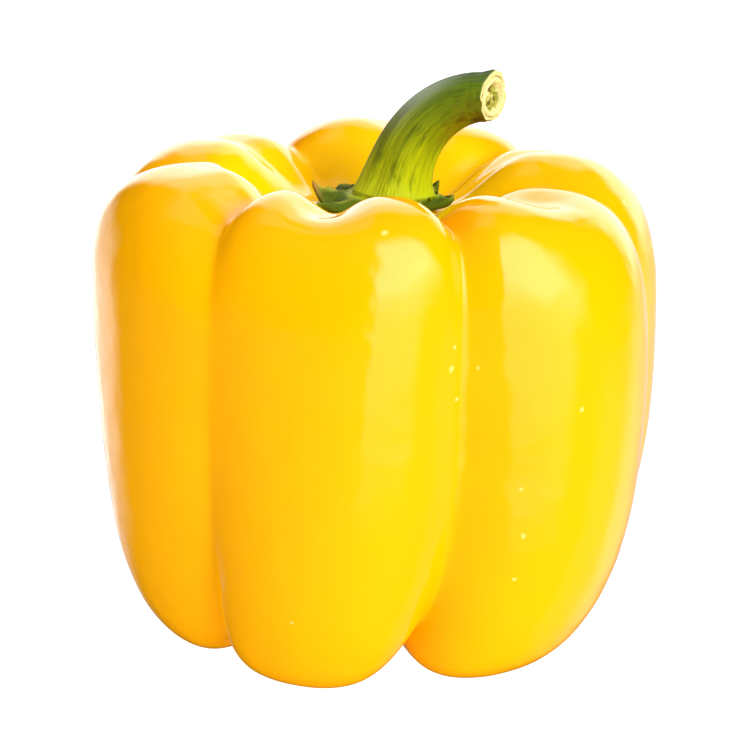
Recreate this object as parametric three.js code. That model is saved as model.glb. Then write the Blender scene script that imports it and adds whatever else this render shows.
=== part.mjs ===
// A yellow bell pepper as picked, standing on the feet of its lobes, with its curved green stem.
// Millimetres, +Z up. The origin lies on the surface, under the middle of the pepper's outline.
// Azimuths are in degrees round the upright axis: 0 is the front (-Y), 90 is the right (+X).
import * as THREE from "three";

// Stations along a meridian of the fruit, from the blossom scar underneath (0) round to the middle
// of the well on top (1). They share the meridian out by the length of its stretches.
const FOOT = 0.14;
const BELLY = 0.5;
const CROWN = 0.79;
const FLOOR = 0.93;

// The lobes, in order from the front towards the right. Each lies between its own crease and the next.
// Each station is a radius and a height. A foot a little under 0 is flat where the fruit stands on it.
const LOBES = [
  { foot: [26, -1.2], belly: [45.4, 51], crown: [28, 81.5] },
  { foot: [26.6, -1.1], belly: [49.2, 54], crown: [29.5, 80.8] },
  { foot: [20, 4], belly: [49.4, 58], crown: [28.5, 82.4] },
  { foot: [26, -0.8], belly: [45.5, 53], crown: [28.5, 82.6] },
  { foot: [24, 2.5], belly: [46.8, 60], crown: [27.5, 82] },
  { foot: [26, -1.2], belly: [46, 64], crown: [27, 84] },
];

// The creases between the lobes: azimuth, depth, and the width in degrees before and after it, at each
// station. The deep cleft of the foot has faded out, and the belly's own depth is reached, at the
// station of its climb.
const CREASES = [
  { foot: [-54, 7, 8, 8], climb: 0.5, belly: [-35.5, 2.2, 26, 26], crown: [-41, 4.6, 15, 5] },
  { foot: [8, 11, 7, 7], climb: 0.44, belly: [21.5, 7, 27, 33], crown: [24, 5, 6.5, 6.5] },
  { foot: [75, 6.5, 9, 9], climb: 0.42, belly: [82, 3.4, 25, 25], crown: [81, 4.5, 9, 9] },
  { foot: [122, 7, 8, 8], climb: 0.42, belly: [130, 5, 31, 31], crown: [129, 5.5, 10, 10] },
  { foot: [200, 7, 8, 8], climb: 0.42, belly: [208, 5, 31, 31], crown: [208, 5, 9, 9] },
  { foot: [254, 5, 8, 8], climb: 0.42, belly: [263, 3, 26, 26], crown: [268, 4, 8, 8] },
];
const CREASE_END = 0.985;

// How round the bottom of a crease is at each station: 0 is a sharp cleft, 1 a soft valley.
const CREASE_SOFTNESS = { foot: 0.1, belly: 0.06, crown: 0.25 };

// Short furrows that part each lobe's shoulder in two: azimuth, depth and width in degrees.
const FURROWS = [
  [-13, 3.6, 10],
  [58, 2.8, 11],
  [110, 1.8, 8],
  [166, 2.6, 12],
  [233, 1.8, 8],
  [290, 0.8, 9],
];
const FURROW_RUN = 0.12;

const SCAR_HEIGHT = 8;
const WELL_RADIUS = 11.5;
const WELL_FLOOR = 73;
const CALM_RADIUS = 10;
// Slow swells over the skin: how high, and how many radians round and along the fruit.
const SWELLS = [
  { height: 0.35, round: 3, along: 9, start: 1 },
  { height: 0.25, round: 7, along: -14, start: 2 },
];
const LOBE_COLUMNS = 14;
const MERIDIAN_ROWS = 42;

// The stem's line, from the calyx up and over to the right and forward, as a cubic curve.
const STEM_START = new THREE.Vector3(4.4, 0, 75.7);
const STEM_END = new THREE.Vector3(20, -7, 92.9);
const STEM_RISE = new THREE.Vector3(1.3, 0, 10.5);
const STEM_REACH = new THREE.Vector3(7.5, -4.9, 0);
const STEM_BASE_RADIUS = 5.4;
const STEM_TIP_RADIUS = 4.1;
const STEM_FLARE = 1.5;
const STEM_FLARE_SHARE = 0.07;
const STEM_LIP = 0.4;
const STEM_LIP_SHARE = 0.05;
const STEM_RIBS = 5;
const RIB_HEIGHT = 0.05;
const STEM_RINGS = 14;
const STEM_COLUMNS = 60;

// The calyx: a thin saucer on the floor of the well, with teeth round its edge.
const CALYX_GAP = 0.3;
const CALYX_CENTRE = 1.2;
const CALYX_RADIUS = 8.8;
const CALYX_RISE = 2.4;
const CALYX_EDGE = 0.9;
const CALYX_RINGS = 5;
// The teeth: azimuth, length, lift of the tip and half width in degrees.
const TEETH = [
  [-98, 3.2, 2.6, 20],
  [-52, 3.4, 1.6, 22],
  [-8, 2.6, 0.6, 20],
  [38, 2.8, 0.8, 20],
  [78, 4.4, 1.6, 20],
  [112, 2.6, 3.2, 13],
  [160, 2.8, 1, 22],
  [212, 2.6, 1.4, 22],
];
const TOOTH_TAPER = 1.2;

// The pale pith in a socket in the cut end of the stem, with a hollow in its face.
const SOCKET_RADIUS = 3.8;
const SOCKET_DEPTH = 2.4;
const PITH_GAP = 0.3;
const PITH_HOLLOW = 0.8;

const skin = new THREE.MeshStandardMaterial({ color: 0xfdb400, roughness: 0.22, metalness: 0 });
const stemGreen = new THREE.MeshStandardMaterial({ color: 0x5f7d0c, roughness: 0.5, metalness: 0 });
const pithCream = new THREE.MeshStandardMaterial({ color: 0xe9dc94, roughness: 0.8, metalness: 0 });

const radians = THREE.MathUtils.degToRad;
const lerp = THREE.MathUtils.lerp;
const modulo = THREE.MathUtils.euclideanModulo;
const smooth = (x) => THREE.MathUtils.smoothstep(x, 0, 1);

// The share of the way from one station to another, easing in and out.
const between = (v, from, to) => smooth((v - from) / (to - from));

// A bump along the meridian: it grows from one station to the next and fades by the one after.
const around = (v, from, peak, to) => (v < peak ? between(v, from, peak) : 1 - between(v, peak, to));

// The signed difference of two azimuths, from -180 to 180.
const turn = (a, b) => modulo(a - b + 180, 360) - 180;

function bezier([a, b, c, d], t) {
  const s = 1 - t;
  return s * s * s * a + 3 * s * s * t * b + 3 * s * t * t * c + t * t * t * d;
}

// A value that has its own size at the foot, the belly and the crown, eased between them.
function alongMeridian(v, foot, belly, crown) {
  const low = 1 - between(v, 0.3 * FOOT, BELLY);
  const high = between(v, BELLY, CROWN);
  return foot * low + belly * (1 - low - high) + crown * high;
}

// A station's radius and height, passing smoothly from the middle of one lobe to the next.
// A position counts lobes round the fruit: 2.5 is the middle of the third.
function lobeStation(position, station) {
  const from = modulo(position - 0.5, LOBES.length);
  const here = Math.floor(from);
  const next = (here + 1) % LOBES.length;
  const share = smooth(from - here);
  return [0, 1].map((i) => lerp(LOBES[here][station][i], LOBES[next][station][i], share));
}

const creaseAzimuth = (crease, v) => alongMeridian(v, crease.foot[0], crease.belly[0], crease.crown[0]);

// The azimuth at a position: the columns between two creases follow them.
function azimuthAt(position, v) {
  const here = Math.floor(position) % CREASES.length;
  const next = (here + 1) % CREASES.length;
  const fullTurn = next === 0 ? 360 : 0;
  const share = position - Math.floor(position);
  return lerp(creaseAzimuth(CREASES[here], v), creaseAzimuth(CREASES[next], v) + fullTurn, share);
}

// The smooth meridian before it is creased, as radius and height, in five stretches.
function meridian(position, v) {
  const [footR, footZ] = lobeStation(position, "foot");
  const [bellyR, bellyZ] = lobeStation(position, "belly");
  const [crownR, crownZ] = lobeStation(position, "crown");
  const inset = crownR - WELL_RADIUS;
  const stretches = [
    {
      from: 0,
      to: FOOT,
      radii: [0, 0.35 * footR, 0.5 * footR, footR],
      heights: [SCAR_HEIGHT, SCAR_HEIGHT, footZ, footZ],
    },
    {
      from: FOOT,
      to: BELLY,
      radii: [footR, lerp(footR, bellyR, 0.68), bellyR, bellyR],
      heights: [footZ, footZ, lerp(bellyZ, footZ, 0.7), bellyZ],
    },
    {
      from: BELLY,
      to: CROWN,
      radii: [bellyR, bellyR, lerp(crownR, bellyR, 0.66), crownR],
      heights: [bellyZ, lerp(bellyZ, crownZ, 0.68), crownZ, crownZ],
    },
    {
      from: CROWN,
      to: FLOOR,
      radii: [crownR, crownR - 0.45 * inset, WELL_RADIUS + 0.35 * inset, WELL_RADIUS],
      heights: [crownZ, crownZ, WELL_FLOOR, WELL_FLOOR],
    },
    {
      from: FLOOR,
      to: 1,
      radii: [WELL_RADIUS, 0.66 * WELL_RADIUS, 0.33 * WELL_RADIUS, 0],
      heights: [WELL_FLOOR, WELL_FLOOR, WELL_FLOOR, WELL_FLOOR],
    },
  ];
  const { from, to, radii, heights } = stretches.find((stretch) => v <= stretch.to);
  const t = (v - from) / (to - from);
  return new THREE.Vector2(bezier(radii, t), bezier(heights, t));
}

// An azimuth away from a crease, as a share of the crease's width on that side.
function spread(away, [, , before, after]) {
  return away / (away < 0 ? before : after);
}

// How deep a crease whose sides fade into the lobes is pressed in, by its size at a station.
function notch(away, size, softness) {
  return size[1] * Math.exp(softness - Math.hypot(spread(away, size), softness));
}

// The same for a crease whose sides end at its widths.
function valley(away, size, softness) {
  return size[1] * Math.max(0, 1 + softness - Math.hypot(spread(away, size), softness)) ** 2;
}

// How far the skin is pressed in by the creases and the furrows, less the slow swells.
function pressed(position, azimuth, v) {
  const atCrown = around(v, BELLY, CROWN, CREASE_END);
  let depth = 0;
  for (const crease of CREASES) {
    const away = turn(azimuth, creaseAzimuth(crease, v));
    const atFoot = around(v, 0, FOOT, crease.climb);
    const atBelly = v < BELLY ? between(v, FOOT, crease.climb) : 1 - between(v, BELLY, CROWN);
    depth += atFoot * notch(away, crease.foot, CREASE_SOFTNESS.foot);
    depth += atBelly * valley(away, crease.belly, CREASE_SOFTNESS.belly);
    depth += atCrown * notch(away, crease.crown, CREASE_SOFTNESS.crown);
  }
  const atShoulder = around(v, CROWN - FURROW_RUN, CROWN, FLOOR);
  for (const [centre, deep, width] of FURROWS) {
    depth += atShoulder * deep * Math.exp(-((turn(azimuth, centre) / width) ** 2));
  }
  const round = radians(azimuthAt(position, BELLY));
  for (const swell of SWELLS) {
    const wave = Math.sin(swell.round * round + swell.along * v + swell.start);
    depth -= swell.height * wave * Math.sin(Math.PI * v);
  }
  return depth;
}

// A point of the skin: the meridian moved inwards along its own normal by the pressed depth.
function skinPoint(position, v) {
  const step = 0.001;
  const point = meridian(position, v);
  const along = meridian(position, v + step).sub(meridian(position, v - step)).normalize();
  const azimuth = azimuthAt(position, v);
  const depth = pressed(position, azimuth, v) * smooth(point.x / CALM_RADIUS);
  const radius = point.x - along.y * depth;
  const height = Math.max(point.y + along.x * depth, 0);
  const angle = radians(azimuth);
  return new THREE.Vector3(radius * Math.sin(angle), -radius * Math.cos(angle), height);
}

// A closed skin over rings of points that all run the same way round, between two poles.
function loft(startPole, rings, endPole) {
  const points = [startPole, ...rings.flat(), endPole];
  const columns = rings[0].length;
  const last = points.length - 1;
  const index = [];
  for (let c = 0; c < columns; c++) {
    const next = (c + 1) % columns;
    index.push(0, 1 + next, 1 + c);
    for (let r = 0; r < rings.length - 1; r++) {
      const low = 1 + r * columns;
      const high = low + columns;
      index.push(low + c, low + next, high + next);
      index.push(low + c, high + next, high + c);
    }
    index.push(last, last - columns + c, last - columns + next);
  }
  const geometry = new THREE.BufferGeometry().setFromPoints(points);
  geometry.setIndex(index);
  geometry.computeVertexNormals();
  return geometry;
}

// The fruit. Its columns crowd towards the creases, and one column lies in each crease.
function fruitGeometry() {
  const positions = LOBES.flatMap((_, lobe) =>
    Array.from({ length: LOBE_COLUMNS }, (_, k) => lobe + 0.5 - 0.5 * Math.cos((Math.PI * k) / LOBE_COLUMNS)),
  );
  const rings = [];
  for (let row = 1; row < MERIDIAN_ROWS; row++) {
    rings.push(positions.map((position) => skinPoint(position, row / MERIDIAN_ROWS)));
  }
  const scar = new THREE.Vector3(0, 0, SCAR_HEIGHT);
  const well = new THREE.Vector3(0, 0, WELL_FLOOR);
  return loft(scar, rings, well);
}

const stemLine = new THREE.CubicBezierCurve3(
  STEM_START,
  STEM_START.clone().add(STEM_RISE),
  STEM_END.clone().sub(STEM_REACH),
  STEM_END,
);

const stemAzimuths = Array.from({ length: STEM_COLUMNS }, (_, k) => (360 * k) / STEM_COLUMNS);

// A ring square to the stem's line at t, moved along the line by a shift.
// An azimuth on it keeps its sense: +X at the calyx is the underside where the stem bends over.
function stemRing(t, radiusAt, shift = 0) {
  const ahead = stemLine.getTangent(t);
  const right = new THREE.Vector3(0, 1, 0).cross(ahead).normalize();
  const front = right.clone().cross(ahead);
  const centre = stemLine.getPoint(t).addScaledVector(ahead, shift);
  return stemAzimuths.map((azimuth) => {
    const radius = radiusAt(azimuth);
    return centre
      .clone()
      .addScaledVector(right, radius * Math.sin(radians(azimuth)))
      .addScaledVector(front, radius * Math.cos(radians(azimuth)));
  });
}

// The stem's radius: it tapers, flares into the calyx, swells at the cut and is ribbed.
function stemRadius(t, azimuth) {
  const taper = lerp(STEM_BASE_RADIUS, STEM_TIP_RADIUS, t);
  const flare = STEM_FLARE * Math.exp(-t / STEM_FLARE_SHARE);
  const lip = STEM_LIP * Math.exp(-(((1 - t) / STEM_LIP_SHARE) ** 2));
  const rib = RIB_HEIGHT * (1 - t) * Math.cos(STEM_RIBS * radians(azimuth));
  return (taper + flare + lip) * (1 + rib);
}

// A ring of the calyx, a share of the way out from the stem to the tips of its teeth.
function calyxRing(share, height) {
  return stemAzimuths.map((azimuth) => {
    let reach = 0;
    let lift = 0;
    for (const [centre, length, rise, halfWidth] of TEETH) {
      const tooth = Math.max(0, 1 - Math.abs(turn(azimuth, centre)) / halfWidth) ** TOOTH_TAPER;
      reach = Math.max(reach, length * tooth);
      lift = Math.max(lift, rise * tooth);
    }
    const radius = lerp(stemRadius(0, azimuth), CALYX_RADIUS + reach, share);
    const x = lerp(STEM_START.x, CALYX_CENTRE, share) + radius * Math.sin(radians(azimuth));
    const y = -radius * Math.cos(radians(azimuth));
    return new THREE.Vector3(x, y, height + lift * share ** 3);
  });
}

// The stem and the calyx that it grows from, as one skin: out under the calyx, in over its top,
// up the stem, over the lip of the cut and down into the socket for the pith.
function stemGeometry() {
  const underside = WELL_FLOOR + CALYX_GAP;
  const rings = [0.25, 0.6, 0.85, 1].map((share) => calyxRing(share, underside));
  for (let k = CALYX_RINGS; k > 0; k--) {
    const share = k / CALYX_RINGS;
    rings.push(calyxRing(share, underside + lerp(CALYX_RISE, CALYX_EDGE, smooth(share))));
  }
  for (let k = 0; k <= STEM_RINGS; k++) {
    rings.push(stemRing(k / STEM_RINGS, (azimuth) => stemRadius(k / STEM_RINGS, azimuth)));
  }
  rings.push(stemRing(1, () => SOCKET_RADIUS));
  rings.push(stemRing(1, () => SOCKET_RADIUS, -SOCKET_DEPTH));
  const scar = new THREE.Vector3(STEM_START.x, 0, underside);
  const socket = STEM_END.clone().addScaledVector(stemLine.getTangent(1), -SOCKET_DEPTH);
  return loft(scar, rings, socket);
}

// The pith fills the socket and has a hollow in the middle of its cut face.
function pithGeometry() {
  const radius = SOCKET_RADIUS - PITH_GAP;
  const back = PITH_GAP - SOCKET_DEPTH;
  const bulge = 0.2;
  const rings = [
    stemRing(1, () => radius, back),
    stemRing(1, () => radius, 0),
    stemRing(1, () => 0.75 * radius, bulge),
    stemRing(1, () => 0.5 * radius, -0.6 * PITH_HOLLOW),
  ];
  const ahead = stemLine.getTangent(1);
  const backPole = STEM_END.clone().addScaledVector(ahead, back);
  const facePole = STEM_END.clone().addScaledVector(ahead, -PITH_HOLLOW);
  return loft(backPole, rings, facePole);
}

function named(name, geometry, material) {
  const mesh = new THREE.Mesh(geometry, material);
  mesh.name = name;
  return mesh;
}

const pepper = new THREE.Group();
pepper.add(named("fruit", fruitGeometry(), skin));
pepper.add(named("stem", stemGeometry(), stemGreen));
pepper.add(named("stem_pith", pithGeometry(), pithCream));

const middle = new THREE.Box3().setFromObject(pepper).getCenter(new THREE.Vector3());
pepper.position.set(-middle.x, -middle.y, 0);

export default pepper;
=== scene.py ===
"""A yellow bell pepper as picked, standing on its lobes, with its cut green stem."""

import math

import bpy
import numpy as np
from mathutils import Euler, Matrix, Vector, noise


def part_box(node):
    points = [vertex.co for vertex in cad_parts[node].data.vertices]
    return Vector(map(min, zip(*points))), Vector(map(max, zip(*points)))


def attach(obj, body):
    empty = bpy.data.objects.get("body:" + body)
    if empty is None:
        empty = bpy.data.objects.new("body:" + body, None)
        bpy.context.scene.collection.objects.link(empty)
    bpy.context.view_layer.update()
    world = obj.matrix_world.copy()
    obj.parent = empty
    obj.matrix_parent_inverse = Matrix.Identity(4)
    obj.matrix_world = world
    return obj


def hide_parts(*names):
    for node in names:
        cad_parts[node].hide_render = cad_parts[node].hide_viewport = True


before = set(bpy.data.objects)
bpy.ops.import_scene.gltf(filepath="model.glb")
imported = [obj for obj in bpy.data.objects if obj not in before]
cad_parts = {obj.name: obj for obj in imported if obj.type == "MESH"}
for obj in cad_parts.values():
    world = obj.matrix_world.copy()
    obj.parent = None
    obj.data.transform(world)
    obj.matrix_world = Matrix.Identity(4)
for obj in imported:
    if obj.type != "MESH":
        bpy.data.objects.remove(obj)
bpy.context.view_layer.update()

MM = 0.001

# The camera looks at the pepper from the front and a little above, as the photograph does.
# Lengths in this file are in millimetres, and turn into metres where a mesh or object is made.
IMAGE_WIDTH = 750
SENSOR_WIDTH = 36
FOCAL_PIXELS = 3904
CAMERA_DISTANCE = 650
CAMERA_ELEVATION = 16
CAMERA_AIM = (-0.4, 0, 44.25)

# Stations along a meridian of the fruit, from the blossom scar underneath (0) round to the middle
# of the well on top (1).
FOOT = 0.14
BELLY = 0.5
CROWN = 0.79
FLOOR = 0.93

# The lobes, in order from the front towards the right: a radius and a height at each station.
LOBES = [
    {"foot": (26, -1.2), "belly": (45.4, 51), "crown": (28, 81.5)},
    {"foot": (26.6, -1.1), "belly": (49.2, 54), "crown": (29.5, 80.8)},
    {"foot": (20, 4), "belly": (49.4, 58), "crown": (28.5, 82.4)},
    {"foot": (26, -0.8), "belly": (45.5, 53), "crown": (28.5, 82.6)},
    {"foot": (24, 2.5), "belly": (46.8, 60), "crown": (27.5, 82)},
    {"foot": (26, -1.2), "belly": (46, 64), "crown": (27, 84)},
]

# The creases between the lobes: azimuth, depth, and the width in degrees before and after it, at
# each station. The deep cleft of the foot has faded out at the station of its climb.
CREASES = [
    {"foot": (-54, 7, 8, 8), "climb": 0.5, "belly": (-35.5, 2.2, 26, 26), "crown": (-41, 4.6, 15, 5)},
    {"foot": (8, 11, 7, 7), "climb": 0.44, "belly": (21.5, 7, 27, 33), "crown": (24, 5, 4, 6.5)},
    {"foot": (75, 6.5, 9, 9), "climb": 0.42, "belly": (82, 3.4, 25, 25), "crown": (81, 4.5, 9, 9)},
    {"foot": (122, 7, 8, 8), "climb": 0.42, "belly": (130, 5, 31, 31), "crown": (129, 5.5, 10, 10)},
    {"foot": (200, 7, 8, 8), "climb": 0.42, "belly": (208, 5, 31, 31), "crown": (208, 5, 9, 9)},
    {"foot": (254, 5, 8, 8), "climb": 0.42, "belly": (263, 3, 26, 26), "crown": (268, 4, 8, 8)},
]
CREASE_END = 0.985
# How round the bottom of a crease is: 0 is a sharp cleft, 1 a soft valley.
CREASE_SOFTNESS = {"foot": 0.1, "belly": 0.06, "crown": 0.25}

# Short furrows that part each lobe's shoulder in two: azimuth, depth and width in degrees.
FURROWS = [
    (-13, 3.6, 10),
    (58, 2.8, 11),
    (110, 1.8, 8),
    (166, 2.6, 12),
    (233, 1.8, 8),
    (290, 0.8, 9),
]
FURROW_RUN = 0.12

# How full the meridian is: the reach of each stretch's handles, as shares of its span.
SCAR_REACH = (0.35, 0.5)
FOOT_FULLNESS = (0.68, 0.7)
SHOULDER_FULLNESS = (0.66, 0.68)
CREST_REACH = 0.45
WELL_REACH = 0.35
FLOOR_REACH = (0.66, 0.33)
# The creases keep their azimuths of the foot up to this station.
FOOT_HOLD = 0.3 * FOOT

SCAR_HEIGHT = 8
WELL_RADIUS = 11.5
WELL_FLOOR = 73
CALM_RADIUS = 10
# Slow swells over the skin: height, radians round and along the fruit, and start.
SWELLS = [(0.35, 3, 9, 1), (0.25, 7, -14, 2)]
# Ripples of the skin that make its reflections waver: height and wavelength.
RIPPLES = [(0.08, 13), (0.03, 5)]
LOBE_COLUMNS = 48
MERIDIAN_ROWS = 300

# The stem's line, from the calyx up and over to the right and forward, as a cubic curve.
STEM_START = np.array([4.4, 0, 75.7])
STEM_END = np.array([20.2, -7, 93])
STEM_RISE = np.array([1.3, 0, 10.5])
STEM_REACH = np.array([7.5, -4.9, 0])
STEM_BASE_RADIUS = 5.4
STEM_TIP_RADIUS = 3.7
STEM_FLARE = 1.5
STEM_FLARE_SHARE = 0.07
STEM_LIP = 0.15
STEM_LIP_SHARE = 0.05
STEM_RIBS = 5
RIB_HEIGHT = 0.05
STEM_COLUMNS = 216
STEM_RINGS = 170

CALYX_GAP = 0.3
CALYX_CENTRE = 1.2
CALYX_RADIUS = 8.8
CALYX_RISE = 2.4
CALYX_EDGE = 0.9
CALYX_RINGS = 26
# The calyx's teeth: azimuth, length, lift of the tip and half width in degrees.
TEETH = [
    (-98, 1.8, 3.2, 24),
    (-52, 3.4, 1.6, 22),
    (-8, 2.6, 0.6, 20),
    (38, 2.8, 0.8, 20),
    (78, 4.4, 1.6, 20),
    (112, 2.6, 2.6, 13),
    (160, 2.8, 1, 22),
    (212, 2.4, 0.6, 22),
]
TOOTH_TAPER = 1.2
# A vein runs along each tooth: its width as a share of the tooth's, and its height.
VEIN_WIDTH = 0.12
VEIN_HEIGHT = 0.3
# The tooth with a dried tip, and the width of the dry part in degrees.
DRIED_TOOTH = (-98, 12)

SOCKET_RADIUS = 3.4
SOCKET_DEPTH = 2.4
PITH_GAP = 0.12


def smooth(x):
    x = np.clip(x, 0, 1)
    return x * x * (3 - 2 * x)


def between(v, start, end):
    """The share of the way from one station to another, easing in and out."""
    return smooth((v - start) / (end - start))


def around(v, start, peak, end):
    """A bump along the meridian, from one station to the next and back by the one after."""
    return np.where(v < peak, between(v, start, peak), 1 - between(v, peak, end))


def turn(a, b):
    """The signed difference of two azimuths, from -180 to 180."""
    return (a - b + 180) % 360 - 180


def hill(azimuth, centre, width):
    """A smooth bump round an azimuth, 1 at its centre."""
    return np.exp(-((turn(azimuth, centre) / width) ** 2))


def waves(azimuth, kinds):
    """A sum of waves round an azimuth, each with its height, count and start in degrees."""
    return sum(height * np.sin(np.radians(count * azimuth + start)) for height, count, start in kinds)


def lerp(a, b, share):
    return a + (b - a) * share


def bezier(points, t):
    a, b, c, d = points
    s = 1 - t
    return s * s * s * a + 3 * s * s * t * b + 3 * s * t * t * c + t * t * t * d


def along_meridian(v, foot, belly, crown):
    """A value with its own size at the foot, the belly and the crown, eased between them."""
    low = 1 - between(v, FOOT_HOLD, BELLY)
    high = between(v, BELLY, CROWN)
    return foot * low + belly * (1 - low - high) + crown * high


def lobe_station(position, station):
    """A station's radius and height. A position counts lobes round the fruit: 2.5 is the middle
    of the third, and values pass smoothly from the middle of one lobe to the next."""
    values = np.array([lobe[station] for lobe in LOBES], float)
    start = (position - 0.5) % len(LOBES)
    here = np.floor(start).astype(int)
    share = smooth(start - here)[..., None]
    found = lerp(values[here % len(LOBES)], values[(here + 1) % len(LOBES)], share)
    return found[..., 0], found[..., 1]


def crease_azimuth(crease, v):
    return along_meridian(v, crease["foot"][0], crease["belly"][0], crease["crown"][0])


def azimuth_at(position, v):
    """The azimuth at a position: the columns between two creases follow them."""
    lines = [crease_azimuth(crease, v) for crease in CREASES]
    lines.append(lines[0] + 360)
    lines = np.stack(np.broadcast_arrays(*lines, v + 0 * position)[:-1])
    here = np.broadcast_to(np.floor(position).astype(int), lines.shape[1:])
    before = np.take_along_axis(lines, here[None], 0)[0]
    after = np.take_along_axis(lines, here[None] + 1, 0)[0]
    return lerp(before, after, position - here)


def meridian(position, v):
    """The smooth meridian before it is creased, as radius and height, in five stretches."""
    foot_r, foot_z = lobe_station(position, "foot")
    belly_r, belly_z = lobe_station(position, "belly")
    crown_r, crown_z = lobe_station(position, "crown")
    inset = crown_r - WELL_RADIUS
    near, far = SCAR_REACH
    foot_wide, foot_tall = FOOT_FULLNESS
    shoulder_wide, shoulder_tall = SHOULDER_FULLNESS
    outer, inner = FLOOR_REACH
    stretches = [
        (
            0,
            FOOT,
            (0, near * foot_r, far * foot_r, foot_r),
            (SCAR_HEIGHT, SCAR_HEIGHT, foot_z, foot_z),
        ),
        (
            FOOT,
            BELLY,
            (foot_r, lerp(foot_r, belly_r, foot_wide), belly_r, belly_r),
            (foot_z, foot_z, lerp(belly_z, foot_z, foot_tall), belly_z),
        ),
        (
            BELLY,
            CROWN,
            (belly_r, belly_r, lerp(crown_r, belly_r, shoulder_wide), crown_r),
            (belly_z, lerp(belly_z, crown_z, shoulder_tall), crown_z, crown_z),
        ),
        (
            CROWN,
            FLOOR,
            (crown_r, crown_r - CREST_REACH * inset, WELL_RADIUS + WELL_REACH * inset, WELL_RADIUS),
            (crown_z, crown_z, WELL_FLOOR, WELL_FLOOR),
        ),
        (
            FLOOR,
            1,
            (WELL_RADIUS, outer * WELL_RADIUS, inner * WELL_RADIUS, 0),
            (WELL_FLOOR,) * 4,
        ),
    ]
    radius = 0 * (position + v)
    height = 0 * (position + v)
    for start, end, radii, heights in stretches:
        t = (v - start) / (end - start)
        here = (t >= 0) & (t <= 1)
        radius = np.where(here, bezier(radii, t), radius)
        height = np.where(here, bezier(heights, t), height)
    return radius, height


def spread(away, size):
    """An azimuth away from a crease, as a share of the crease's width on that side."""
    _, _, before, after = size
    return away / np.where(away < 0, before, after)


def notch(away, size, softness):
    """How deep a crease whose sides fade into the lobes is pressed in, by its size at a station."""
    return size[1] * np.exp(softness - np.hypot(spread(away, size), softness))


def valley(away, size, softness):
    """The same for a crease whose sides end at its widths."""
    return size[1] * np.maximum(0, 1 + softness - np.hypot(spread(away, size), softness)) ** 2


def pressed(azimuth, v):
    """How far the skin is pressed in by the creases and the furrows."""
    at_crown = around(v, BELLY, CROWN, CREASE_END)
    depth = 0 * azimuth
    for crease in CREASES:
        away = turn(azimuth, crease_azimuth(crease, v))
        at_foot = around(v, 0, FOOT, crease["climb"])
        at_belly = np.where(v < BELLY, between(v, FOOT, crease["climb"]), 1 - between(v, BELLY, CROWN))
        depth = depth + at_foot * notch(away, crease["foot"], CREASE_SOFTNESS["foot"])
        depth = depth + at_belly * valley(away, crease["belly"], CREASE_SOFTNESS["belly"])
        depth = depth + at_crown * notch(away, crease["crown"], CREASE_SOFTNESS["crown"])
    at_shoulder = around(v, CROWN - FURROW_RUN, CROWN, FLOOR)
    for centre, deep, width in FURROWS:
        depth = depth + at_shoulder * deep * hill(azimuth, centre, width)
    return depth


def swelling(position, v):
    """How far the slow swells raise the skin."""
    round_fruit = np.radians(azimuth_at(position, np.full_like(v, BELLY)))
    raised = 0
    for height, around_turns, along_turns, start in SWELLS:
        wave = np.sin(around_turns * round_fruit + along_turns * v + start)
        raised = raised + height * wave * np.sin(np.pi * v)
    return raised


def skin_grid(position, v):
    """The skin's points: the meridian moved along its own normal by creases and swells."""
    step = 0.001
    radius, height = meridian(position, v)
    ahead_r, ahead_z = meridian(position, np.minimum(v + step, 1))
    behind_r, behind_z = meridian(position, np.maximum(v - step, 0))
    along_r = ahead_r - behind_r
    along_z = ahead_z - behind_z
    length = np.hypot(along_r, along_z)
    azimuth = azimuth_at(position, v)
    crease = pressed(azimuth, v)
    depth = (crease - swelling(position, v)) * smooth(radius / CALM_RADIUS)
    radius = radius - along_z / length * depth
    height = height + along_r / length * depth
    angle = np.radians(azimuth)
    return np.stack([radius * np.sin(angle), -radius * np.cos(angle), height], -1), crease


def outward(grid):
    """The unit normals of a grid of points whose columns run round it."""
    across = np.roll(grid, -1, 1) - np.roll(grid, 1, 1)
    along = np.gradient(grid, axis=0)
    normal = np.cross(across, along)
    return normal / np.maximum(np.linalg.norm(normal, axis=-1, keepdims=True), 1e-9)


# Each seed takes its noise from another place, turned askew to the fruit's axes.
SEED_STRIDE = Vector((17.3, 5.1, 9.7))
NOISE_TURN = Euler((0.6, 0.4, 0.9)).to_matrix()


def lumps(points, wavelength, seed=0):
    """Smooth noise between about -1 and 1 at each point, of one wavelength."""
    offset = SEED_STRIDE * seed
    askew = NOISE_TURN * (1 / wavelength)
    flat = [noise.noise(askew @ Vector(p) + offset) for p in points.reshape(-1, 3)]
    return 2 * np.array(flat).reshape(points.shape[:-1])


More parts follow.
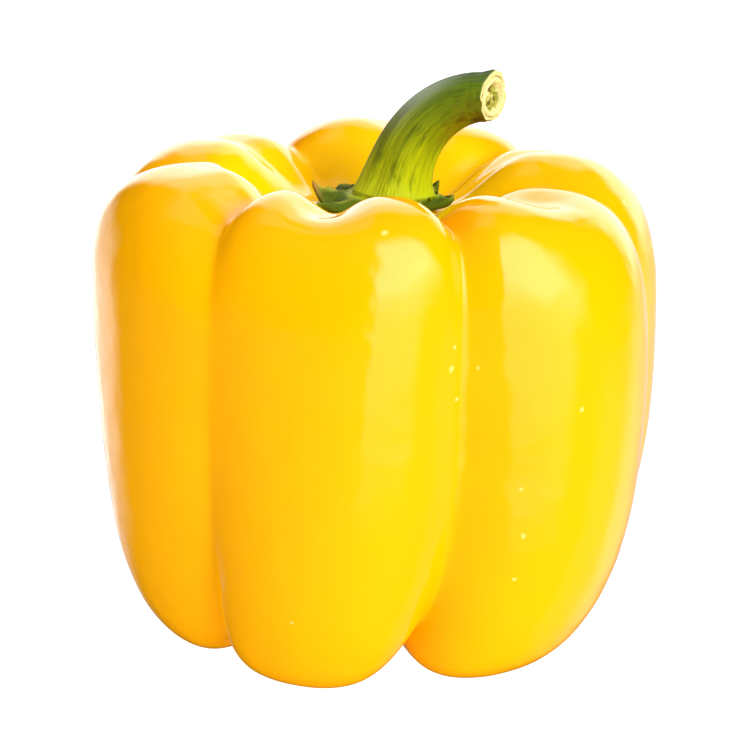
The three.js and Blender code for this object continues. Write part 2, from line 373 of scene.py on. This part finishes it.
def closed_mesh(name, grid, start, end, values):
    """A closed skin over a grid of points, row by row between two poles, with a value of each kind
    in values kept at each point. The grid is in millimetres."""
    rows, columns = grid.shape[:2]
    points = np.vstack([start, grid.reshape(-1, 3), end])
    last = len(points) - 1
    column = np.arange(columns)
    after = (column + 1) % columns
    low = 1 + columns * np.arange(rows - 1)[:, None]
    high = low + columns
    quads = np.stack([low + column, low + after, high + after, high + column], -1).reshape(-1, 4)
    first = np.stack([0 * column, 1 + after, 1 + column], -1)
    final = np.stack([0 * column + last, last - columns + column, last - columns + after], -1)
    mesh = bpy.data.meshes.new(name)
    mesh.from_pydata((points * MM).tolist(), [], first.tolist() + quads.tolist() + final.tolist())
    mesh.polygons.foreach_set("use_smooth", [True] * len(mesh.polygons))
    for key, value in values.items():
        value = np.asarray(value, float)
        poles = (value[0].mean(0), value[-1].mean(0))
        shape = (-1, 3) if value.ndim == 3 else (-1,)
        flat = np.concatenate([poles[0].reshape(shape), value.reshape(shape), poles[1].reshape(shape)])
        if value.ndim == 3:
            attribute = mesh.attributes.new(key, "FLOAT_VECTOR", "POINT")
            attribute.data.foreach_set("vector", flat.ravel())
        else:
            attribute = mesh.attributes.new(key, "FLOAT", "POINT")
            attribute.data.foreach_set("value", flat)
    mesh.update()
    piece = bpy.data.objects.new(name, mesh)
    bpy.context.scene.collection.objects.link(piece)
    return piece


def dress(piece, node, material):
    """Puts a piece in the place of its node, in its own finish."""
    piece.data.materials.append(material)
    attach(piece, "root")
    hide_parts(node)
    return piece


class Wire:
    """An output of a shader node. Python's operators join it to other wires and numbers."""

    def __init__(self, finish, socket):
        self.finish = finish
        self.socket = socket

    def maths(self, operation, *values):
        inputs = dict(enumerate(values))
        return self.finish.node("ShaderNodeMath", {"operation": operation}, inputs)

    def __add__(self, other):
        return self.maths("ADD", self, other)

    def __radd__(self, other):
        return self.maths("ADD", other, self)

    def __sub__(self, other):
        return self.maths("SUBTRACT", self, other)

    def __rsub__(self, other):
        return self.maths("SUBTRACT", other, self)

    def __mul__(self, other):
        return self.maths("MULTIPLY", self, other)

    def __rmul__(self, other):
        return self.maths("MULTIPLY", other, self)

    def other(self, output):
        """Another output of the same node, by its number or name."""
        return Wire(self.finish, self.socket.node.outputs[output])

    def rise(self, low, high):
        """0 below low, 1 above high, and eased between."""
        settings = {"interpolation_type": "SMOOTHSTEP"}
        inputs = {"Value": self, "From Min": low, "From Max": high}
        return self.finish.node("ShaderNodeMapRange", settings, inputs)


class Finish:
    """The node tree of one material or of the world."""

    def __init__(self, owner):
        owner.use_nodes = True
        self.tree = owner.node_tree
        self.tree.nodes.clear()

    def node(self, kind, settings=None, inputs=None, output=0):
        made = self.tree.nodes.new(kind)
        for key, value in (settings or {}).items():
            setattr(made, key, value)
        for key, value in (inputs or {}).items():
            if isinstance(value, Wire):
                self.tree.links.new(value.socket, made.inputs[key])
            else:
                made.inputs[key].default_value = value
        return Wire(self, made.outputs[output]) if len(made.outputs) else made

    def kept(self, name, output=2):
        """A value that the mesh keeps at its points: output 1 is a vector and 2 a number."""
        return self.node("ShaderNodeAttribute", {"attribute_name": name}, output=output)

    def place(self):
        """Where a point of the surface is, in metres."""
        return self.node("ShaderNodeTexCoord", output=3)

    def stretched(self, vector, scale):
        return self.node("ShaderNodeMapping", inputs={"Vector": vector, "Scale": scale})

    def grain(self, vector, scale, detail=2, roughness=0.5):
        inputs = {"Vector": vector, "Scale": scale, "Detail": detail, "Roughness": roughness}
        return self.node("ShaderNodeTexNoise", inputs=inputs)

    def distance(self, a, b):
        inputs = {0: a, 1: b}
        return self.node("ShaderNodeVectorMath", {"operation": "DISTANCE"}, inputs, output=1)

    def mix(self, share, a, b):
        """A colour between two others."""
        inputs = {0: share, 6: a, 7: b}
        return self.node("ShaderNodeMix", {"data_type": "RGBA"}, inputs, output=2)

    def bump(self, height, distance, strength=1):
        inputs = {"Height": height, "Distance": distance, "Strength": strength}
        return self.node("ShaderNodeBump", inputs=inputs)

    def surface(self, **inputs):
        """The material's one shader, with its socket names written with underscores."""
        named = {key.replace("_", " "): value for key, value in inputs.items()}
        shader = self.node("ShaderNodeBsdfPrincipled", inputs=named)
        self.node("ShaderNodeOutputMaterial", inputs={"Surface": shader})


def colour(red, green, blue):
    return (red, green, blue, 1)


SKIN_YELLOW = colour(0.93, 0.405, 0.0)
SKIN_ORANGE = colour(0.92, 0.34, 0.0)
SKIN_PALE = colour(0.95, 0.62, 0.04)
# Painted light: a paler yellow that brightens the well's inner walls.
SKIN_PAINTED_WELL_LIGHT = colour(0.95, 0.51, 0.0)
SCUFF_CREAM = colour(0.96, 0.76, 0.24)
SCAR_BROWN = colour(0.16, 0.08, 0.02)
# How strongly each kind of mark, and the painted shade in the creases, shows in the skin's colour.
CREASE_SHADE_SHARE = 0.2
PATCH_SHARE = 0.5
SPECK_SHARE = 0.12
SCUFF_SHARE = 0.5
# The skin's grains: scale per metre, detail and roughness.
SKIN_GRAINS = {
    "patches": (60, 3, 0.5),
    "specks": (900, 2, 0.5),
    "ragged": (1100, 3, 0.6),
    "gloss": (240, 3, 0.5),
    "fine": (1500, 2, 0.5),
    "wavy": (170, 1, 0.5),
}
WAX_ROUGHNESS = 0.06
GLOSS_CHANGE = 0.08
SCUFF_ROUGHNESS = 0.3
WAVE_HEIGHT = 0.25 * MM
FINE_HEIGHT = 0.01 * MM

# Small dry scuffs in the wax: azimuth, height and half length in millimetres.
SCUFFS = [
    (1.4, 78.2, 0.8),
    (22.9, 56, 0.55),
    (16.8, 56.6, 0.7),
    (17.4, 60, 0.5),
    (17.9, 51.8, 0.5),
    (32.6, 28.1, 0.7),
    (31.1, 36.3, 0.5),
    (30.4, 20.9, 0.5),
    (42.4, 48.4, 0.6),
    (93.3, 65.7, 0.8),
    (87.7, 73.8, 1.1),
    (341, 15.1, 0.5),
]
SCUFF_RAGGEDNESS = 2.4


def waxy_skin(scuffs):
    """Glossy yellow wax, more orange in patches, with orange painted shade in the creases and painted
    light that brightens the well.
    """
    material = bpy.data.materials.new("waxy_yellow_skin")
    skin = Finish(material)
    place = skin.place()
    grain = {name: skin.grain(place, *kind) for name, kind in SKIN_GRAINS.items()}
    # Orange painted shade in the creases, by their depth, and orange patches that are the skin's own.
    orange = skin.kept("crease").rise(0.15, 0.9) * CREASE_SHADE_SHARE + (grain["patches"] - 0.5) * PATCH_SHARE
    base = skin.mix(orange, SKIN_YELLOW, SKIN_ORANGE)
    base = skin.mix(grain["specks"].rise(0.68, 0.8) * SPECK_SHARE, base, SKIN_PALE)
    # Painted light: the well's inner walls are brightened in colour, standing in for light scattered
    # between them.
    base = skin.mix(skin.kept("well"), base, SKIN_PAINTED_WELL_LIGHT)
    worn = 0
    for spot, size in scuffs:
        away = skin.distance(place, spot) * (1 / size)
        worn = worn + (grain["ragged"] * SCUFF_RAGGEDNESS - away).rise(0.35, 0.95)
    base = skin.mix(worn * SCUFF_SHARE, base, SCUFF_CREAM)
    base = skin.mix(skin.kept("scar"), base, SCAR_BROWN)
    skin.surface(
        Base_Color=base,
        Roughness=WAX_ROUGHNESS + grain["gloss"] * GLOSS_CHANGE + worn * SCUFF_ROUGHNESS,
        Specular_IOR_Level=0.5,
        IOR=1.5,
        Normal=skin.bump(grain["wavy"] * WAVE_HEIGHT + grain["fine"] * FINE_HEIGHT, 1),
    )
    return material


SCAR_RADIUS = 1.6
SCAR_FADE = 0.8
# The crease's depth at which its orange painted shade is full, in millimetres.
FULL_CREASE = 5
# The stations between which the painted light that brightens the well's skin sets in.
PAINTED_WELL_LIGHT_FROM = (CROWN - 0.01, CROWN + 0.05)


def scuff_spots(grid, v):
    """The scuffs' places on the skin outside the well, and their sizes, in metres."""
    azimuth = np.degrees(np.arctan2(grid[..., 0], -grid[..., 1]))
    spots = []
    for centre, level, size in SCUFFS:
        misses = np.hypot(turn(azimuth, centre), grid[..., 2] - level)
        nearest = np.argmin(np.where(v > CROWN, np.inf, misses))
        spots.append((Vector(grid.reshape(-1, 3)[nearest] * MM), size * MM))
    return spots


def pepper_fruit():
    """The fruit, how far it was shifted to the solid's middle, and its scuffs."""
    lobe = np.arange(len(LOBES))[:, None]
    step = np.arange(LOBE_COLUMNS) / LOBE_COLUMNS
    position = (lobe + 0.5 - 0.5 * np.cos(np.pi * step)).reshape(1, -1)
    v = (np.arange(1, MERIDIAN_ROWS) / MERIDIAN_ROWS)[:, None]
    grid, crease = skin_grid(position, v + 0 * position)
    normals = outward(grid)
    for height, wavelength in RIPPLES:
        grid = grid + normals * (height * lumps(grid, wavelength))[..., None]
    radius = np.hypot(grid[..., 0], grid[..., 1])
    low, high = (np.array(corner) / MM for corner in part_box("fruit"))
    grid[..., 2] = np.maximum(grid[..., 2], low[2])
    middle = (grid.reshape(-1, 3).min(0) + grid.reshape(-1, 3).max(0)) / 2
    shift = (low + high) / 2 - middle
    shift[2] = 0
    # The ripples stay inside the solid's box, so it stands on the same flats.
    grid = np.clip(grid + shift, low, high)
    values = {
        "crease": crease / FULL_CREASE,
        "scar": smooth((SCAR_RADIUS - radius) / SCAR_FADE) * (v < BELLY),
        # The share of the well's painted light.
        "well": between(v, *PAINTED_WELL_LIGHT_FROM) + 0 * position,
    }
    start = np.array([0, 0, SCAR_HEIGHT]) + shift
    end = np.array([0, 0, WELL_FLOOR]) + shift
    return closed_mesh("pepper_fruit", grid, start, end, values), shift, scuff_spots(grid, v)


STEM_LIME = colour(0.44, 0.50, 0.001)
STEM_GREEN = colour(0.14, 0.22, 0.001)
STEM_DARK = colour(0.032, 0.062, 0.001)
STEM_OLIVE = colour(0.30, 0.21, 0.001)
STEM_BROWN = colour(0.085, 0.055, 0.001)
# A pale grey-green painted sheen.
STEM_PAINTED_SHEEN = colour(0.46, 0.52, 0.36)
CALYX_GREEN = colour(0.075, 0.11, 0.002)
CALYX_VEIN = colour(0.30, 0.32, 0.03)
DRIED_TAN = colour(0.42, 0.20, 0.04)
CUT_CREAM = colour(0.66, 0.60, 0.22)
# The stem's grains, stretched along its fibres: scales across and along, detail and roughness.
STEM_GRAINS = {
    "streaks": ((1.1, 1.1, 0.09), 4, 0.6),
    "threads": ((3.4, 3.4, 0.13), 3, 0.6),
    "blotches": ((0.35, 0.35, 0.2), 3, 0.5),
}
STREAK_DARKNESS = 0.55
THREAD_DARKNESS = 0.3
STEM_ROUGHNESS = 0.42
THREAD_ROUGHNESS = 0.2
CALYX_ROUGHNESS = 0.3
STREAK_HEIGHT = 0.35
THREAD_HEIGHT = 0.2


def green_stem():
    """Fibrous green, lime at the base, with painted shade on the left and a painted sheen along the
    upper left, olive to brown under the bend.
    """
    material = bpy.data.materials.new("fibrous_green_stem")
    green = Finish(material)
    fibre = green.kept("fibre", 1)
    up = green.kept("up_stem")
    under = green.kept("underside")
    calyx = green.kept("calyx")
    streaks, threads, blotches = (
        green.grain(green.stretched(fibre, scale), 1, detail, roughness)
        for scale, detail, roughness in STEM_GRAINS.values()
    )
    base = green.mix((up + (streaks - 0.5) * 0.9).rise(0.0, 0.7), STEM_LIME, STEM_GREEN)
    stained = (streaks * 0.6 + blotches * 0.6).rise(0.6, 0.8)
    base = green.mix(stained * STREAK_DARKNESS, base, STEM_DARK)
    base = green.mix(threads.rise(0.5, 0.7) * THREAD_DARKNESS, base, STEM_DARK)
    base = green.mix(under * threads.rise(0.35, 0.6), base, STEM_OLIVE)
    base = green.mix(under * (up + (blotches - 0.5)).rise(0.7, 0.95), base, STEM_BROWN)
    # Painted shade: the left of the stem's lower part is darkened in colour.
    base = green.mix(green.kept("shade") * (0.45 + streaks * 0.8), base, STEM_DARK)
    # Painted sheen: a pale grey band along the upper left stands in for a reflection.
    base = green.mix(green.kept("painted_sheen") * (streaks + 0.1), base, STEM_PAINTED_SHEEN)
    leafy = green.mix(green.kept("vein"), CALYX_GREEN, CALYX_VEIN)
    base = green.mix(calyx, base, leafy)
    base = green.mix(green.kept("dried"), base, DRIED_TAN)
    base = green.mix(green.kept("cut"), base, CUT_CREAM)
    green.surface(
        Base_Color=base,
        Roughness=STEM_ROUGHNESS + threads * THREAD_ROUGHNESS + calyx * CALYX_ROUGHNESS,
        Specular_IOR_Level=0.28,
        Normal=green.bump(streaks * STREAK_HEIGHT + threads * THREAD_HEIGHT, MM),
    )
    return material


def stem_line(t):
    return bezier((STEM_START, STEM_START + STEM_RISE, STEM_END - STEM_REACH, STEM_END), t)


def stem_ahead(t):
    step = 0.0005
    ahead = stem_line(np.minimum(t + step, 1)) - stem_line(np.maximum(t - step, 0))
    return ahead / np.linalg.norm(ahead, axis=-1, keepdims=True)


def stem_rings(t, azimuth, radius, shift=0):
    """Rings square to the stem's line. An azimuth keeps its sense: 90 is the underside of the bend."""
    t = np.asarray(t, float)[:, None]
    ahead = stem_ahead(t)
    right = np.cross([0, 1, 0], ahead)
    right = right / np.linalg.norm(right, axis=-1, keepdims=True)
    front = np.cross(right, ahead)
    centre = stem_line(t)
    angle = np.radians(azimuth)[None, :, None]
    across = np.sin(angle) * right[:, None] + np.cos(angle) * front[:, None]
    along = np.broadcast_to(np.asarray(shift, float), radius.shape)[..., None] * ahead[:, None]
    return centre[:, None] + radius[..., None] * across + along


def stem_radius(t, azimuth):
    """It tapers, flares into the calyx, swells at the cut and is ribbed."""
    taper = lerp(STEM_BASE_RADIUS, STEM_TIP_RADIUS, t)
    flare = STEM_FLARE * np.exp(-t / STEM_FLARE_SHARE)
    lip = STEM_LIP * np.exp(-(((1 - t) / STEM_LIP_SHARE) ** 2))
    rib = RIB_HEIGHT * (1 - t) * np.cos(STEM_RIBS * np.radians(azimuth))
    return (taper + flare + lip) * (1 + rib)


def calyx_teeth(azimuth):
    """How far the teeth reach and lift at an azimuth, and how near it is to a tooth's midline."""
    reach = 0 * azimuth
    lift = 0 * azimuth
    midline = 0 * azimuth
    for centre, length, rise, half_width in TEETH:
        away = np.abs(turn(azimuth, centre)) / half_width
        tooth = np.maximum(0, 1 - away) ** TOOTH_TAPER
        reach = np.maximum(reach, length * tooth)
        lift = np.maximum(lift, rise * tooth)
        midline = np.maximum(midline, np.exp(-((away / VEIN_WIDTH) ** 2)))
    return reach, lift, midline


def calyx_rings(share, azimuth, height):
    """Rings of the calyx, a share of the way out from the stem to the tips of its teeth."""
    share = np.asarray(share, float)[:, None]
    height = np.asarray(height, float)[:, None]
    reach, lift, _ = calyx_teeth(azimuth)
    radius = lerp(stem_radius(0, azimuth), CALYX_RADIUS + reach, share)
    angle = np.radians(azimuth)
    x = lerp(STEM_START[0], CALYX_CENTRE, share) + radius * np.sin(angle)
    y = -radius * np.cos(angle)
    z = height + lift * share**3
    return np.stack([x, y, z], -1)


# The calyx's folds, as waves round it: height, count and start in degrees.
FOLDS = [(0.3, 13, 0), (0.25, 29, 40)]
# Its ruffles, as noise: height, wavelength and seed.
RUFFLES = [(0.45, 2.1, 6), (0.2, 0.9, 7)]
# The ridges of the stem, as noise stretched along its fibres: stretch, wavelength, height and seed.
RIDGES = [((1, 1, 0.07), 1.6, 0.13, 1), ((1, 1, 0.25), 4.5, 0.2, 2)]
WRINKLES = ((0.6, 0.6, 2), 2.4, 0.064, 3)
WRINKLED_FROM = (0.8, 0.92)
# About the stem's length, which its fibres are measured along.
FIBRE_LENGTH = 30
# The ragged edge of the cut: its waves, and the point of skin that stands up at its top.
RAGGED = [(0.12, 5, 20), (0.08, 11, 0)]
SNAG = (265, 26)
SNAG_HEIGHT = 0.5
RAGGED_FROM = 0.93
# The rings of the socket: depth, and how much of the ragged edge each still has.
SOCKET_RINGS = [(0, 0.8), (0.3, 0.4), (0.8, 0.1), (1.6, 0), (SOCKET_DEPTH, 0)]
# Where round the stem its marks, its painted shade and its painted sheen lie: middle and width in
# degrees.
UNDERSIDE = (75, 55)
SHADED_SIDE = (262, 55)
PAINTED_SHEEN_SIDE = (292, 20)


def ridge(fibre, kind):
    stretch, wavelength, height, seed = kind
    return height * lumps(fibre * np.array(stretch), wavelength, seed)


def bark(fibre, t):
    """How far ridges and wrinkles raise the stem's skin, away from both of its ends."""
    raised = sum(ridge(fibre, kind) for kind in RIDGES)
    raised = raised + ridge(fibre, WRINKLES) * between(t, *WRINKLED_FROM)[:, None]
    return raised * (between(t, 0, 0.1) * (1 - between(t, 0.985, 1)))[:, None]


def calyx_top(share, azimuth, underside):
    """The rings of the calyx's folded and ruffled top."""
    rings = calyx_rings(share, azimuth, underside + lerp(CALYX_RISE, CALYX_EDGE, smooth(share)))
    _, _, midline = calyx_teeth(azimuth)
    folds = waves(azimuth, FOLDS) + VEIN_HEIGHT * midline
    rings[..., 2] += folds * (np.sin(np.pi * share) * share)[:, None]
    ruffles = sum(height * lumps(rings, wavelength, seed) for height, wavelength, seed in RUFFLES)
    rings[..., 2] += ruffles * around(share, 0.15, 0.6, 1.02)[:, None]
    return rings


def stem_piece(shift):
    """The calyx's underside and top, the stem up to its cut and the socket, as one skin."""
    azimuth = 360 * np.arange(STEM_COLUMNS) / STEM_COLUMNS
    underside = WELL_FLOOR + CALYX_GAP
    out = np.linspace(0.2, 1, 12)
    back = np.linspace(1, 0.02, CALYX_RINGS)
    t = np.linspace(0, 1, STEM_RINGS)
    under = calyx_rings(out, azimuth, 0 * out + underside)
    over = calyx_top(back, azimuth, underside)

    angle = np.radians(azimuth)
    fibre = np.stack(
        [
            STEM_BASE_RADIUS * np.sin(angle) + 0 * t[:, None],
            STEM_BASE_RADIUS * np.cos(angle) + 0 * t[:, None],
            FIBRE_LENGTH * t[:, None] + 0 * angle,
        ],
        -1,
    )
    up = stem_rings(t, azimuth, stem_radius(t[:, None], azimuth))
    up = up + bark(fibre, t)[..., None] * outward(up)
    ahead = stem_ahead(np.array([1.0]))[0]
    ragged = waves(azimuth, RAGGED) + SNAG_HEIGHT * hill(azimuth, *SNAG)
    up = up + between(t, RAGGED_FROM, 1)[:, None, None] * ragged[:, None] * ahead

    depth, still_ragged = np.array(SOCKET_RINGS).T[..., None]
    level = ragged * still_ragged - depth
    socket = stem_rings(np.ones(len(level)), azimuth, np.full_like(level, SOCKET_RADIUS), level)

    grid = np.concatenate([under, over, up, socket]) + shift
    counts = (len(under), len(over), len(up), len(socket))

    def stacked(*parts):
        whole = [np.broadcast_to(part, (count, STEM_COLUMNS)) for part, count in zip(parts, counts)]
        return np.concatenate(whole)

    _, _, midline = calyx_teeth(azimuth)
    below = hill(azimuth, *UNDERSIDE)
    # Painted shade on the left of the stem's lower part.
    shade = between(t, 0.02, 0.3)[:, None] * hill(azimuth, *SHADED_SIDE)
    # Painted sheen along the upper left of the stem.
    painted_sheen = around(t, 0.25, 0.6, 0.92)[:, None] * hill(azimuth, *PAINTED_SHEEN_SIDE)
    dried = hill(azimuth, *DRIED_TOOTH) * between(back, 0.8, 0.95)[:, None]
    values = {
        "fibre": np.concatenate([under, over, fibre, np.repeat(fibre[-1:], len(socket), 0)]),
        "up_stem": stacked(0, 0, t[:, None], 1),
        "underside": stacked(0, 0, between(t, 0.25, 0.7)[:, None] * below, below),
        "shade": stacked(0, 0, shade, 0),
        "painted_sheen": stacked(0, 0, painted_sheen, 0),
        "calyx": stacked(1, between(back, 0, 0.35)[:, None], 0, 0),
        "vein": stacked(0, midline * between(back, 0.1, 0.4)[:, None], 0, 0),
        "dried": stacked(0, dried, 0, 0),
        "cut": stacked(0, 0, between(t, 0.992, 1)[:, None], 1),
    }
    start = np.array([STEM_START[0], 0, underside]) + shift
    end = STEM_END - SOCKET_DEPTH * ahead + shift
    return closed_mesh("stem_and_calyx", grid, start, end, values)


PITH_CREAM = colour(0.78, 0.66, 0.28)
PITH_OLIVE = colour(0.36, 0.36, 0.04)
PITH_BROWN = colour(0.16, 0.09, 0.015)
CRUMB_GRAIN = (1400, 4, 0.6)
CRUMB_HEIGHT = 0.5 * MM
PITH_COLUMNS = 120
PITH_RINGS = 34
# How far the face's edge lies below the rim of the cut.
PITH_SUNK = 0.1
# The raised ring round the face: where it lies and its width, as shares of the radius, and height.
PITH_RIM = (0.83, 0.14)
PITH_RIM_HEIGHT = 0.45
# Where the hollow inside the ring starts and where it ends, as shares of the radius.
PITH_HOLLOW = (0.55, 0.95)
# The torn face, as noise: height, wavelength and seed.
TEARS = [(0.35, 1.3, 4), (0.18, 0.55, 5)]


def dry_pith():
    """Cream crumbs, olive in the hollow, and brown where it is deepest."""
    material = bpy.data.materials.new("torn_dry_pith")
    pith = Finish(material)
    depth = pith.kept("hollow")
    crumbs = pith.grain(pith.place(), *CRUMB_GRAIN)
    base = pith.mix((depth + (crumbs - 0.5) * 0.9).rise(0.3, 0.85), PITH_CREAM, PITH_OLIVE)
    base = pith.mix((depth + (crumbs - 0.5) * 1.6).rise(0.9, 1.2), base, PITH_BROWN)
    pith.surface(
        Base_Color=base,
        Roughness=0.75,
        Normal=pith.bump(crumbs, CRUMB_HEIGHT),
    )
    return material


def pith_piece(shift):
    """A plug in the stem's socket, with a torn and partly hollow face."""
    azimuth = 360 * np.arange(PITH_COLUMNS) / PITH_COLUMNS
    radius = SOCKET_RADIUS - PITH_GAP
    back = PITH_GAP - SOCKET_DEPTH
    # The rings of the plug's back and side: a share of the radius, and a level.
    plug = [(0.5, back), (1, back), (1, lerp(back, -PITH_SUNK, 0.5)), (1, -PITH_SUNK)]
    face = np.linspace(1, 0.04, PITH_RINGS)
    shares = np.concatenate([[share for share, _ in plug], face])
    radii = np.broadcast_to((radius * shares)[:, None], (len(shares), PITH_COLUMNS))
    flat = stem_rings(np.ones(len(shares)), azimuth, radii)[len(plug) :]
    torn = sum(height * lumps(flat, wavelength, seed) for height, wavelength, seed in TEARS)
    middle, width = PITH_RIM
    rim = PITH_RIM_HEIGHT * np.exp(-(((face - middle) / width) ** 2))[:, None]
    hollow = (1 - between(face, *PITH_HOLLOW))[:, None]
    lift = rim - hollow + torn * (0.4 + hollow)
    lift = lift * between(face, 1.02, 0.9)[:, None]
    sides = np.repeat([[level] for _, level in plug], PITH_COLUMNS, 1)
    levels = np.concatenate([sides, lift])
    grid = stem_rings(np.ones(len(shares)), azimuth, radii, levels) + shift
    ahead = stem_ahead(np.array([1.0]))[0]
    start = STEM_END + back * ahead + shift
    end = STEM_END + levels[-1].mean() * ahead + shift
    values = {"hollow": np.concatenate([0 * sides, -lift])}
    return closed_mesh("torn_pith", grid, start, end, values)


def camera():
    lens = bpy.data.cameras.new("camera")
    lens.sensor_width = SENSOR_WIDTH
    lens.lens = FOCAL_PIXELS / IMAGE_WIDTH * SENSOR_WIDTH
    lens.clip_start = 0.05
    lens.clip_end = 20
    seat = bpy.data.objects.new("camera", lens)
    bpy.context.scene.collection.objects.link(seat)
    tilt = math.radians(CAMERA_ELEVATION)
    back = Vector((0, -math.cos(tilt), math.sin(tilt))) * CAMERA_DISTANCE
    seat.location = (Vector(CAMERA_AIM) + back) * MM
    seat.rotation_euler = (math.radians(90 - CAMERA_ELEVATION), 0, 0)
    bpy.context.scene.camera = seat


FLOOR_SIZE = 8
FLOOR_GREY = 0.4


def studio_floor():
    """A pale floor with a soft glow, as a light table has."""
    mesh = bpy.data.meshes.new("floor")
    half = FLOOR_SIZE / 2
    corners = [(-half, -half, 0), (half, -half, 0), (half, half, 0), (-half, half, 0)]
    mesh.from_pydata(corners, [], [(0, 1, 2, 3)])
    floor = bpy.data.objects.new("floor", mesh)
    bpy.context.scene.collection.objects.link(floor)
    material = bpy.data.materials.new("pale_floor")
    pale = Finish(material)
    pale.surface(
        Base_Color=colour(FLOOR_GREY, FLOOR_GREY, FLOOR_GREY),
        Roughness=0.9,
        Specular_IOR_Level=0,
        Emission_Color=colour(1, 1, 1),
        Emission_Strength=1.0,
    )
    mesh.materials.append(material)
    floor.visible_glossy = False


# The light all round: its brightness on the skin and in its reflections.
AMBIENT_DIFFUSE = 0.22
AMBIENT_GLOSSY = 0.01
# The elevations between which the light from overhead sets in, and its brightness.
OVERHEAD = (20, 60)
OVERHEAD_DIFFUSE = 1.05


def panel(azimuth, fade, elevation, soft, glow, diffuse):
    """A soft panel of light: the azimuths from and to, how far its left and right edge fade, the
    elevations from and to, how far its bottom and top fade, all in degrees, its brightness in
    reflections, and the share of that which also lights the skin."""
    return {
        "azimuth": azimuth,
        "fade": fade,
        "elevation": elevation,
        "soft": soft,
        "glow": glow,
        "diffuse": diffuse,
    }


PANELS = [
    # The large softbox at the front right, and its lower end.
    panel((3, 80), (4, 26), (-4, 78), (30, 26), 5.6, 0.2),
    panel((3, 58), (4, 14), (-33, 14), (24, 14), 1.4, 0.22),
    # The pale table and wall that show in the right rim.
    panel((72, 165), (20, 40), (-66, -8), (22, 12), 0.35, 1.6),
    panel((108, 170), (25, 30), (-50, 2), (22, 12), 0.8, 0.5),
    # The bright backdrop that shows in the crests, and its lower end.
    panel((128, 210), (12, 12), (-10, 40), (14, 18), 3.0, 0.45),
    panel((146, 208), (12, 12), (20, 62), (18, 16), 2.0, 0.8),
    panel((145, 215), (25, 25), (-30, 8), (20, 16), 1.2, 1),
    # The wall at the back left that shows in the left rim, and the light above it.
    panel((190, 246), (10, 20), (-30, 14), (16, 16), 1.8, 1.5),
    panel((185, 256), (10, 10), (52, 84), (12, 12), 0.6, 3),
]

SUN_AZIMUTH = 40
SUN_ELEVATION = 22
SUN_SPREAD = 30
SUN_BRIGHTNESS = 3.1


def front_light():
    """The soft light of the front right that brightens the skin without showing in it."""
    light = bpy.data.lights.new("front_right", "SUN")
    light.energy = SUN_BRIGHTNESS
    light.angle = math.radians(SUN_SPREAD)
    lamp = bpy.data.objects.new("front_right", light)
    bpy.context.scene.collection.objects.link(lamp)
    lamp.rotation_euler = (math.radians(90 - SUN_ELEVATION), 0, math.radians(SUN_AZIMUTH))
    lamp.visible_glossy = False


def studio_light():
    """Soft light all round, with the panels. What the camera sees of it is plain white."""
    world = bpy.data.worlds.new("studio")
    bpy.context.scene.world = world
    light = Finish(world)
    aim = light.node("ShaderNodeTexCoord")
    x = light.node("ShaderNodeSeparateXYZ", inputs={0: aim})
    y = x.other("Y")
    z = x.other("Z")
    azimuth = x.maths("ARCTAN2", x, 0 - y) * (180 / math.pi)
    azimuth = azimuth + (1 - azimuth.rise(-0.001, 0.001)) * 360
    elevation = z.maths("ARCSINE", z) * (180 / math.pi)
    seen = light.node("ShaderNodeLightPath")
    glossy = seen.other("Is Glossy Ray")
    glow = 0
    for shape in PANELS:
        left, right = shape["azimuth"]
        fade_left, fade_right = shape["fade"]
        low, high = shape["elevation"]
        soft_low, soft_high = shape["soft"]
        wide = azimuth.rise(left, left + fade_left) * (1 - azimuth.rise(right - fade_right, right))
        tall = elevation.rise(low, low + soft_low) * (1 - elevation.rise(high - soft_high, high))
        share = glossy * (1 - shape["diffuse"]) + shape["diffuse"]
        glow = glow + wide * tall * share * shape["glow"]
    overhead = elevation.rise(*OVERHEAD) * OVERHEAD_DIFFUSE + AMBIENT_DIFFUSE
    ambient = glossy * AMBIENT_GLOSSY + (1 - glossy) * overhead
    radiance = seen + (1 - seen) * (ambient + glow)
    sky = light.node("ShaderNodeBackground", inputs={"Strength": radiance})
    light.node("ShaderNodeOutputWorld", inputs={"Surface": sky})


camera()
fruit, shift, scuffs = pepper_fruit()
dress(fruit, "fruit", waxy_skin(scuffs))
dress(stem_piece(shift), "stem", green_stem())
dress(pith_piece(shift), "stem_pith", dry_pith())
studio_floor()
front_light()
studio_light()
bpy.context.scene.view_settings.view_transform = "Standard"
